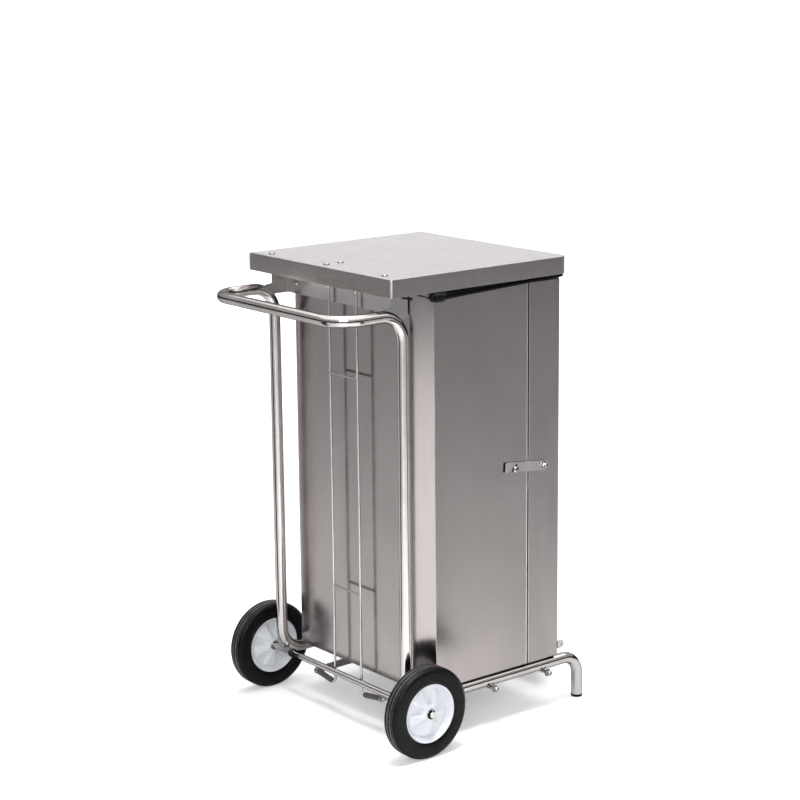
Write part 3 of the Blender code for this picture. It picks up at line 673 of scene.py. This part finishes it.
def make_axle():
    """The axle bar with chamfered, centre-drilled ends and its two dark collars."""
    end, bar = AXLE_END, AXLE_R
    profile = [(0, -end + 0.003), (0.0016, -end), (bar - 0.001, -end), (bar, 0.001 - end),
               (bar, end - 0.001), (bar - 0.001, end), (0.0016, end), (0, end - 0.003)]
    axle = revolve("axle_bar", profile, aim((0, AXLE_Y, WHEEL_R), (1, 0, 0)), 40)
    finish_piece(axle, "wire", "cart", "steel_tube", "axle")
    collar = [(bar, 0.0085), (bar + 0.0024, 0.0085), (bar + 0.0030, 0.0075), (bar + 0.0030, 0.0010),
              (bar + 0.0024, 0), (bar, 0)]
    for side, sign in SIDES:
        place = aim((sign * COLLAR_X, AXLE_Y, WHEEL_R), (sign, 0, 0))
        ring = revolve(f"axle_collar_{side}", collar, place, 32, ring=True)
        finish_piece(ring, "black_wire_and_shade", "cart", "steel_fastener")


def make_axle_end(side, sign):
    """The retaining ring, painted black as painted shade round the axle end, and the split pin outside the
    wheel.
    """
    profile = [(0.0073, 0.0016), (0.0096, 0.0016), (0.0100, 0.0012), (0.0100, 0.0004),
               (0.0096, 0), (0.0073, 0)]
    place = aim((sign * (WHEEL_X + WHEEL_W / 2 + GAP), AXLE_Y, WHEEL_R), (sign, 0, 0))
    # painted shade: the steel ring is painted black for the dark bore of the bush round the axle end
    ring = revolve(f"shade_painted_retaining_ring_{side}", profile, place, 32, ring=True)
    finish_piece(ring, "black_wire_and_shade", "cart", "steel_fastener", f"axle_ring_{side}")
    x = sign * (AXLE_END - 0.0030)
    angles = [TAU * i / 12 for i in range(13)]
    eye = [(x, AXLE_Y + 0.0016 * math.sin(a), WHEEL_R + 0.0098 - 0.0018 * math.cos(a)) for a in angles]
    legs = [(x, AXLE_Y - 0.0004, WHEEL_R + 0.0080), (x, AXLE_Y, WHEEL_R - 0.0085),
            (x, AXLE_Y + 0.0030, WHEEL_R - 0.0105)]
    pin = sweep(f"split_pin_{side}", eye + legs, 0.0008, 10)
    finish_piece(pin, "fastener", "cart", "steel_fastener")


def acorn_nut(name, place, across, height, washer):
    """A dome nut on a washer: a chamfered hexagon and a round dome."""
    shape = bmesh.new()
    hexagon = height * 0.42
    circle = across / math.sqrt(3)
    rings = []
    for radius, h in ((circle * 0.93, washer), (circle, washer + 0.0004),
                      (circle, washer + hexagon - 0.0006), (circle * 0.9, washer + hexagon)):
        rings.append([shape.verts.new((radius * math.cos(TAU * k / 6), radius * math.sin(TAU * k / 6), h))
                      for k in range(6)])
    shape.faces.new(rings[0])
    for low, high in zip(rings, rings[1:]):
        bridge(shape, low, high)
    shape.faces.new(rings[-1])
    dome_r = across * 0.44
    dome_base = washer + hexagon - 0.0002
    dome = [(0, dome_base), (dome_r, dome_base), (dome_r, dome_base + 0.0012)]
    dome += [(dome_r * math.cos(math.radians(a)),
              dome_base + 0.0012 + (height - hexagon - 0.001) * math.sin(math.radians(a)))
             for a in (15, 30, 45, 60, 75, 90)]
    dome[-1] = (0, dome[-1][1])
    revolve(None, dome, None, 28, shape=shape)
    flat = [(0, washer), (circle * 1.12, washer), (circle * 1.18, washer - 0.0002),
            (circle * 1.18, 0), (0, 0)]
    revolve(None, flat, None, 32, shape=shape)
    return from_bmesh(name, shape, place, 30)


def make_cross_rods():
    for name, y in CROSS_RODS:
        path = [(-ROD_END, y, CROSS_Z), (0, y, CROSS_Z), (ROD_END, y, CROSS_Z)]
        bar = sweep(f"{name}_bar", path, CROSS_R)
        finish_piece(bar, "wire", "cart", "steel_fastener", name)
        for side, sign in SIDES:
            place = aim((sign * (ROD_END + GAP), y, CROSS_Z), (sign, 0, 0))
            nut = acorn_nut(f"{name}_dome_nut_{side}", place, 0.0130, 0.0118, 0.0010)
            finish_piece(nut, "fastener", "cart", "steel_fastener", f"{name}_nut_{side}")


# ---- body, door and latches --------------------------------------------------------------
def turned_corners(points, radius):
    """A plan path whose inner corners are bends of one radius."""
    path = rounded([(x, y, 0) for x, y in points], [radius] * (len(points) - 2), 5)
    return [(p.x, p.y) for p in path]


def body_points(front):
    left = [(BODY_X, front), (BODY_X, BODY_REAR - BODY_CHAMFER), (BODY_X - BODY_CHAMFER, BODY_REAR)]
    return left + [(-x, y) for x, y in reversed(left)]


def front_points(rear):
    return [(-BODY_X, rear), (-BODY_X, BODY_FRONT), (BODY_X, BODY_FRONT), (BODY_X, rear)]


def make_body():
    shell = turned_corners(body_points(SEAM_REAR), BODY_BEND)
    front = turned_corners(front_points(SEAM_FRONT), FRONT_BEND)
    for name, path, low, high, material, body, node in (
            ("folded_body", shell, BODY_BOTTOM, BODY_TOP, "body", "cart", "body_shell"),
            ("front_header", front, HEADER_BOTTOM, BODY_TOP, "door", "cart", "header_panel"),
            ("drop_front", front, DOOR_BOTTOM, DOOR_TOP, "door", "front_door", "door_tray")):
        finish_piece(sheet_wall(name, path, low, high), material, body, "steel_sheet", node)
    for side, sign in SIDES:
        make_seam(side, sign * (BODY_X - 0.0006))
    for node, material, bevel in (("rim_ring", "bracket", 0), ("floor_panel", "body", 0),
                                  ("cross_bar_front", "bracket", 0.0005),
                                  ("cross_bar_rear", "bracket", 0.0005),
                                  ("hanger_bracket", "bracket", 0.0004)):
        dress(node, material, bevel)


def make_seam(side, x):
    """Bright hems along both edges of the seam, and between them a dark strip that paints the shade in the
    seam's gap.
    """
    for body, y, low, high in (("front_door", SEAM_FRONT - 0.0012, DOOR_BOTTOM, DOOR_TOP),
                               ("cart", SEAM_REAR + 0.0012, BODY_BOTTOM, BODY_TOP)):
        path = refined([Vector((x, y, low + 0.001)), Vector((x, y, high - 0.001))], 0.1)
        hem = sweep(f"seam_hem_{body}_{side}", path, HEM_R, 14)
        finish_piece(hem, "wire", body, "steel_sheet")
    middle = (SEAM_REAR + SEAM_FRONT) / 2
    # a black strip down the middle of the gap between door and body: painted shade
    path = [(x, middle, z) for z in (DOOR_BOTTOM, 0.55, DOOR_TOP)]
    finish_piece(sweep(f"seam_shade_strip_{side}", path, SEAM_SHADE_R, 12), "cord", "cart", "rubber")


def latch_outline():
    """The strip's outline: round at the pivot, a notch over the pin, a cut corner at the tab."""
    half = LATCH_HALF
    pin = 0.0832        # along the strip, from its pivot to the pin
    outline = arc((0, 0), half, 90, 270, 16)
    outline += [(pin - 0.0036, -half), (pin - 0.0040, -half + 0.0004), (pin - 0.0040, 0.0035)]
    outline += arc((pin - 0.0009, 0.0044), 0.0031, 170, 10, 8)
    outline += [(pin + 0.0022, -0.0012), (0.0970, -half + 0.0010), (0.1030, -half + 0.0002),
                (0.1135, -half - 0.0004), (0.1145, half - 0.0030), (0.1125, half - 0.0006), (0.1080, half)]
    return outline


def bend_tab(strip, sign):
    """Bend the free end of a flat strip outwards, into a finger tab."""
    for vert in strip.data.vertices:
        along = vert.co.x - TAB_START
        if along <= 0:
            continue
        turned = min(along / TAB_BEND, TAB_ANGLE)
        rest = max(0.0, along - TAB_BEND * TAB_ANGLE)
        reach = TAB_BEND - vert.co.z * sign
        vert.co.x = TAB_START + reach * math.sin(turned) + rest * math.cos(turned)
        vert.co.z = sign * (TAB_BEND - reach * math.cos(turned) + rest * math.sin(turned))


def make_latches():
    """Each side's strip, the nut that it turns on and the button that it hooks over."""
    cuts = [TAB_START + TAB_BEND * TAB_ANGLE * i / 6 for i in range(7)]
    hole = arc((0, 0), 0.0034, 360, 15, 23)
    button = [(0, 0.0082), (0.0030, 0.0080), (0.0058, 0.0070), (0.0074, 0.0052), (0.0076, 0.0040),
              (0.0072, 0.0033), (0.0024, 0.0032), (0.0022, 0.0028), (0.0022, 0), (0, 0)]
    for side, sign in SIDES:
        base = sign * (BODY_X + 0.0010 + LATCH_T / 2)
        place = side_frame(base, LATCH_Y, LATCH_Z) @ Matrix.Rotation(LATCH_TILT, 4, "Z")
        strip = slab(f"bent_latch_{side}", [latch_outline(), hole], 0.0016, place, cuts)
        bend_tab(strip, sign)
        finish_piece(strip, "bracket", f"latch_{side}", "steel_tube", f"latch_strip_{side}")
        nut_place = aim((sign * (BODY_X + 0.0032), LATCH_Y, LATCH_Z), (sign, 0, 0))
        nut = acorn_nut(f"latch_dome_nut_{side}", nut_place, 0.0125, 0.0082, 0.0006)
        finish_piece(nut, "fastener", "front_door", "steel_fastener", f"latch_nut_{side}")
        pin_place = aim((sign * (BODY_X + GAP), PIN_Y, PIN_Z), (sign, 0, 0))
        pin = revolve(f"latch_button_{side}", button, pin_place, 32)
        finish_piece(pin, "fastener", "cart", "steel_fastener", f"latch_pin_{side}")


# ---- lid ------------------------------------------------------------------------------------
def lid_ring(inset, height):
    """The lid's outline at one height, drawn in by inset: round front corners, tight rear ones."""
    ring = []
    corners = ((-LID_X, LID_FRONT, LID_CORNER, 180), (LID_X, LID_FRONT, LID_CORNER, 270),
               (LID_X, LID_REAR, LID_FOLD, 0), (-LID_X, LID_REAR, LID_FOLD, 90))
    for x, y, radius, start in corners:
        centre = (x - math.copysign(radius, x), y - math.copysign(radius, y))
        left = max(radius - inset, 0.0002)
        ring += [(u, v, height) for u, v in arc(centre, left, start, start + 90, 8)]
    return ring


def make_lid():
    """A folded lid: a skirt, a rolled top edge and a flat top, with welded rear corners whose beads are
    painted bright as a painted highlight.
    """
    edge = 0.0022
    rings = [lid_ring(0.0, LID_TOP - LID_SKIRT), lid_ring(0.0, LID_TOP - edge)]
    for i in range(1, 6):
        a = math.radians(18 * i)
        rings.append(lid_ring(edge * (1 - math.cos(a)), LID_TOP - edge + edge * math.sin(a)))
    shape = bmesh.new()
    loops = [[shape.verts.new(p) for p in ring] for ring in rings]
    for low, high in zip(loops, loops[1:]):
        bridge(shape, low, high)
    shape.faces.new(loops[-1])
    lid = from_bmesh("folded_lid", shape, angle=40)
    finish_piece(folded_sheet(lid, False), "lid", "lid", "steel_lid", "lid_panel")
    for side, sign in SIDES:
        x, y = sign * (LID_X - 0.0021), LID_REAR - 0.0021
        heights = (LID_TOP - LID_SKIRT + 0.0005, LID_TOP - 0.015, LID_TOP - 0.0018)
        # a weld bead down each rear corner, painted near white: painted highlight
        bead = sweep(f"lid_corner_weld_painted_highlight_{side}", [(x, y, z) for z in heights], 0.0029)
        finish_piece(bead, "weld", "lid", "steel_lid")
    screws = {"hinge_left": (0.198, 0.211), "hinge_right": (-0.198, 0.211),
              "clip_rear": (0, 0.211), "clip_front": (0, 0.174)}
    for index, (name, (x, y)) in enumerate(screws.items()):
        make_screw(name, x, y, 0.4 + 0.7 * index)
    for side, _ in SIDES:
        dress(f"lid_ear_{side}", "bracket", 0.0003)
    dress("rod_clip", "bracket", 0.0004)


def make_screw(name, x, y, turn):
    """A raised screw head with a cross recess."""
    place = Matrix.Translation((x, y, LID_TOP + 0.0001)) @ Matrix.Rotation(turn, 4, "Z")
    seat = [(0, 0.0004), (0.0046, 0.0004), (0.0066, 0.0006), (0.0072, 0.0003), (0.0072, 0), (0, 0)]
    finish_piece(revolve(f"lid_screw_seat_{name}", seat, place, 32), "cord", "lid", "steel_fastener")
    head = [(0, 0.0021), (0.0015, 0.00205), (0.0028, 0.0017), (0.0038, 0.0011), (0.0043, 0.0005),
            (0.0043, 0.0003), (0, 0.0003)]
    screw = revolve(f"lid_screw_head_{name}", head, place, 32)
    for angle in (0, 90):
        slot = bmesh.new()
        bmesh.ops.create_cube(slot, size=1)
        bmesh.ops.scale(slot, vec=(0.0046, 0.0009, 0.0024), verts=slot.verts)
        tool = from_bmesh("cross", slot, place @ Matrix.Rotation(math.radians(angle), 4, "Z")
                          @ Matrix.Translation((0, 0, 0.0021)))
        cut(screw, tool)
    finish_piece(baked(screw), "fastener", "lid", "steel_fastener", f"lid_screw_{name}")


# ---- cord and hooks ---------------------------------------------------------------------------
def make_cord():
    """The doubled elastic cord round the front, along the same route as its CAD solids."""
    out = BODY_X + GAP + CORD_R + GAP
    front = BODY_FRONT - GAP - CORD_R - GAP
    for name, rear_z, front_z in (("upper", COIL_Z + 0.0042, 0.9850), ("lower", COIL_Z - 0.0038, 0.9765)):
        half = rounded([(out + 0.004, COIL_FRONT - GAP, rear_z), (out + 0.004, 0.086, rear_z),
                        (out, 0.055, rear_z + 0.001), (out, front, front_z), (0, front, front_z)],
                       (0.03, 0.03, 0.0100))
        cord = sweep(f"elastic_cord_{name}", refined(mirrored(half[:-1]), 0.02), CORD_R, 16)
        finish_piece(cord, "cord", "cart", "cord", f"bungee_cord_{name}")


def coil_path(coil_x):
    """The hook wire's turns round the cord ends, and the cone that they run out to."""
    turns, cone_turns, taper = 5.5, 1.6, 0.12
    centre_r = COIL_R - HOOK_WIRE_R
    path = []
    steps = int(turns * 20)
    for i in range(steps + 1):
        share = i / steps
        radius = centre_r * (1 - taper * max(0.0, share - 0.7) / 0.3)
        a = TAU * turns * share
        y = COIL_FRONT + HOOK_WIRE_R + (COIL_REAR - COIL_FRONT) * share
        path.append(Vector((coil_x + radius * math.cos(a), y, COIL_Z + radius * math.sin(a))))
    for i in range(1, 31):
        share = i / 30
        radius = centre_r * (1 - taper) * (1 - share) + 0.0008
        a = TAU * (turns + cone_turns * share)
        y = COIL_REAR + HOOK_WIRE_R + 0.010 * share
        path.append(Vector((coil_x - 0.004 * share + radius * math.cos(a), y,
                            COIL_Z + 0.0015 * share + radius * math.sin(a))))
    return path


def make_hooks():
    """A wire wound round the cord ends, run to a cone, then hooked through the bracket."""
    coil_x = BODY_X + GAP + COIL_R
    eye = rounded([(coil_x - 0.004, 0.1360, 0.9705), (coil_x - 0.013, 0.1440, 0.9735),
                   (0.2240, 0.1500, 0.9755), (0.2110, 0.1550, 0.9760), (0.2020, 0.1640, 0.9755),
                   (0.2020, 0.1785, HOOK_Z), (0.2170, 0.1795, HOOK_Z), (0.2235, 0.1620, 0.9680)],
                  (0.003, 0.003, 0.008, 0.006, 0.005, 0.006), 6)
    core = [(0, 0.001), (0.0044, 0.001), (0.0050, 0.003), (0.0050, 0.022), (0.0044, 0.029),
            (0.0024, 0.037), (0.0012, 0.040), (0, 0.040)]
    tip = rounded([(0.2160, 0.1795, HOOK_Z), (0.2180, 0.1785, HOOK_Z - 0.0003),
                   (0.2238, 0.1610, 0.9678)], (0.003,), 5)
    for side, sign in SIDES:
        mirror = Matrix.Diagonal((sign, 1, 1, 1))
        path = [mirror @ p for p in coil_path(coil_x) + eye]
        hook = sweep(f"spiral_hook_{side}", path, HOOK_WIRE_R, 10)
        finish_piece(hook, "black_wire_and_shade", "cart", "steel_fastener", f"hook_{side}")
        plug = revolve(f"hook_core_{side}", core, aim((sign * coil_x, COIL_FRONT, COIL_Z), (0, 1, 0)), 24)
        finish_piece(plug, "cord", "cart", "steel_fastener")
        sheath = sweep(f"hook_tip_{side}", [mirror @ p for p in tip], 0.0021, 14)
        finish_piece(sheath, "tip", "cart", "grip_rubber")


# ---- lid rods and pedal --------------------------------------------------------------------------
def make_lid_rods():
    """Two upright wires with rungs between them; their feet turn out into ribbed sleeves."""
    half = rounded([(WIRE_END, WIRE_Y, FOOT_OUTER), (SLEEVE_END, WIRE_Y, FOOT_OUTER),
                    (WIRE_X, WIRE_Y, FOOT_INNER), (WIRE_X, WIRE_Y, CRANK_LOW),
                    (WIRE_X, WIRE_TOP_Y, CRANK_HIGH), (WIRE_X, WIRE_TOP_Y, WIRE_TOP),
                    (0, WIRE_TOP_Y, WIRE_TOP)],
                   (0.02, 0.009, 0.012, 0.012, 0.012), 8)
    pieces = [sweep("lid_rod_wire", refined(mirrored(half[:-1]), 0.05), WIRE_R, 18)]
    for index, z in enumerate(RUNG_HEIGHTS):
        path = [(-WIRE_X, WIRE_Y, z), (0, WIRE_Y, z), (WIRE_X, WIRE_Y, z)]
        pieces.append(sweep(f"rung_{index}", path, RUNG_R, 16))
        for sign in (1, -1):
            pieces.append(weld_bead(f"rung_bead_{index}_{sign}", (sign * (WIRE_X - 0.0030), WIRE_Y, z),
                                    (sign, 0, 0), RUNG_R, 0.0009))
    finish_piece(joined("lid_rods_welded", pieces), "wire", "lid_rods", "steel_tube", "lid_rod_frame")
    for side, sign in SIDES:
        make_sleeve(side, sign)


def make_sleeve(side, sign):
    """A ribbed rubber sleeve along the sloping part of a rod's foot."""
    ribs = 17
    path, radii = [], []
    steps = ribs * 6
    for i in range(steps + 1):
        share = i / steps
        x = SLEEVE_START + (SLEEVE_END - SLEEVE_START) * share
        z = FOOT_INNER + (FOOT_OUTER - FOOT_INNER) * (x - WIRE_X) / (SLEEVE_END - WIRE_X)
        path.append((sign * x, WIRE_Y, z))
        rounded_end = max(0.0, abs(2 * share - 1) - 0.97) / 0.03
        radii.append(0.93 + 0.07 * math.cos(TAU * ribs * share) - 0.10 * rounded_end)
    sleeve = sweep(f"ribbed_sleeve_{side}", path, SLEEVE_R, 20, radii)
    finish_piece(sleeve, "sleeve", "lid_rods", "grip_rubber", f"rod_sleeve_{side}")


def weld_bead(name, point, direction, radius, size):
    """A lumpy ring of weld round a bar."""
    shape = bmesh.new()
    count = 24
    rings = []
    place = aim(point, direction)
    for k in range(count):
        a = TAU * k / count
        lump = size * (1 + 0.25 * noise.noise(Vector((k * 0.9, radius * 900, point[2] * 50))))
        ring = []
        for m in range(8):
            b = TAU * m / 8
            reach = radius + lump * 0.4 + lump * math.cos(b)
            point_on_bead = Vector((reach * math.cos(a), reach * math.sin(a), lump * math.sin(b)))
            ring.append(shape.verts.new(place @ point_on_bead))
        rings.append(ring)
    for ring, following in zip(rings, rings[1:] + rings[:1]):
        bridge(shape, ring, following)
    return from_bmesh(name, shape)


def make_pedal():
    """The pedal with its tread ribs, and the small CAD pieces that keep their own shape."""
    dress("pedal_plate", "pedal", 0.0006)
    dress("pedal_pivot_tube", "pedal", 0.0004)
    for side, _ in SIDES:
        for node, material in (("pedal_arm", "pedal"), ("hinge_lug", "bracket"), ("door_ear", "bracket")):
            dress(f"{node}_{side}", material, 0.0004)
        dress(f"bracket_bolt_{side}", "fastener")
    ribs = []
    for i in range(6):
        y = TREAD_FRONT + 0.0105 * i
        half = 0.060 + 0.003 * i
        ribs.append(sweep(f"tread_{i}", [(x, y, TREAD_Z) for x in (-half, 0, half)], 0.0014, 10))
    finish_piece(joined("pedal_tread_ribs", ribs), "pedal", "pedal", "steel_sheet")


# ---- stage ------------------------------------------------------------------------------------
def make_camera():
    data = bpy.data.cameras.new("camera")
    data.sensor_width = 36
    data.lens = 93.70
    right = Vector((-0.62392, -0.78143, -0.00966))
    up = Vector((0.16621, -0.14476, 0.97541))
    turn = Matrix((right, up, right.cross(up))).transposed().to_4x4()
    place = Matrix.Translation((-3.48097, 2.78438, 1.70196)) @ turn
    bpy.context.scene.camera = link("camera", data, place)


def softbox(name, place, target, width, height, power, spread):
    """A flat lamp at place that faces target; spread is in degrees."""
    data = bpy.data.lights.new(name, "AREA")
    data.shape = "RECTANGLE"
    data.size, data.size_y = width, height
    data.energy = power
    data.spread = math.radians(spread)
    lamp = link(name, data)
    lamp.location = place
    lamp.visible_camera = False
    lamp.rotation_euler = (Vector(target) - Vector(place)).to_track_quat("-Z", "Y").to_euler()
    return lamp


def matt_paint(name, colour, glow):
    surface = Surface(name, colour, 0.9)
    surface.put("Emission Color", (1, 1, 1, 1))
    surface.put("Emission Strength", glow)
    return surface.material


def reflected_only(name, shape, colour, glow=0.0):
    """A studio panel that only shows in glossy surfaces, and throws no light or shadow."""
    panel = from_bmesh(name, shape)
    panel.data.materials.append(matt_paint(name, colour, glow))
    for ray in ("camera", "diffuse", "shadow", "transmission", "volume_scatter"):
        setattr(panel, f"visible_{ray}", False)


def ring_part(start, end, inner, outer):
    """A band between two (radius, height) circles, over an arc in degrees."""
    shape = bmesh.new()
    steps = 36
    pairs = []
    for i in range(steps + 1):
        a = math.radians(start + (end - start) * i / steps)
        pairs.append([shape.verts.new((r * math.cos(a), r * math.sin(a), h)) for r, h in (inner, outer)])
    for (a, b), (c, d) in zip(pairs, pairs[1:]):
        shape.faces.new((a, b, d, c))
    return shape


def make_panels():
    """Dark cards and a bright ceiling that give the polished bars their crisp bands."""
    black = (0.02, 0.02, 0.02)
    for name, start, end, near, far in (("rear_card", 60, 83, 0.75, 6.0),
                                        ("side_card", 193, 205, 0.75, 6.0),
                                        ("far_card", 108, 150, 5.1, 8.0)):
        reflected_only(name, ring_part(start, end, (near, 0.004), (far, 0.004)), black)
    reflected_only("dark_horizon", ring_part(5, 290, (8.0, 0.0), (8.0, 2.2)), black)
    reflected_only("bright_ceiling", ring_part(0, 360, (0.01, 5.0), (6.0, 5.0)), (0.8, 0.8, 0.8), 1.05)


def make_floors():
    """A pale floor that turns up into a low round wall, and its brighter twin that is only seen.

    The first one lights the scene and shows in reflections. The second one, a hair above it,
    is what the camera sees.
    """
    flat_r, bend_r, wall_top = 9, 3, 5.5
    profile = [(0, 0), (3, 0), (6, 0), (flat_r, 0)]
    for a in [math.radians(6 * i) for i in range(1, 16)]:
        profile.append((flat_r + bend_r * math.sin(a), bend_r - bend_r * math.cos(a)))
    profile.append((flat_r + bend_r, wall_top))
    for name, lift, glow in (("studio_floor", 0.0, 0.0), ("seen_floor", 0.0003, 0.30)):
        floor = revolve(name, profile, Matrix.Translation((0, 0, lift)), 96, angle=80)
        floor.data.materials.append(matt_paint(name + "_paint", (0.84, 0.84, 0.84), glow))
        floor.visible_camera = glow > 0
        for ray in ("diffuse", "glossy", "shadow", "transmission"):
            setattr(floor, f"visible_{ray}", glow == 0)


def make_lights():
    """An even grey sky and soft lamps. The two turned ones draw long pools of light on the floor."""
    world = bpy.data.worlds.new("studio")
    world.use_nodes = True
    world.node_tree.nodes["Background"].inputs["Color"].default_value = (0.50, 0.50, 0.50, 1)
    world.node_tree.nodes["Background"].inputs["Strength"].default_value = 1.0
    bpy.context.scene.world = world
    near = softbox("near_soft", (-1.67, 1.91, 3.2), (-1.67, 1.91, 0), 0.5, 4.0, 22, 45)
    near.rotation_euler = (0, 0, math.radians(38.5))
    edge = softbox("edge_soft", (-2.9, 0.22, 3.0), (-2.9, 0.22, 0), 4.4, 0.35, 13, 30)
    edge.rotation_euler = (0, 0, math.radians(-2))
    softbox("top_soft", (0.2, -0.2, 4.4), (0.2, -0.2, 0), 3.0, 3.0, 21, 62)
    softbox("key_soft", (-5.2, 4.6, 4.0), (0, 0, 0.9), 3.6, 2.0, 90, 120)
    softbox("back_soft", (5.0, -4.0, 5.4), (6.2, -5.0, 0), 6.0, 8.0, 380, 120)
    bpy.context.scene.view_settings.view_transform = "Standard"


make_camera()
make_floors()
make_lights()
make_panels()
make_frame_tube()
make_wheels()
make_cross_rods()
make_body()
make_latches()
make_lid()
make_cord()
make_hooks()
make_lid_rods()
make_pedal()
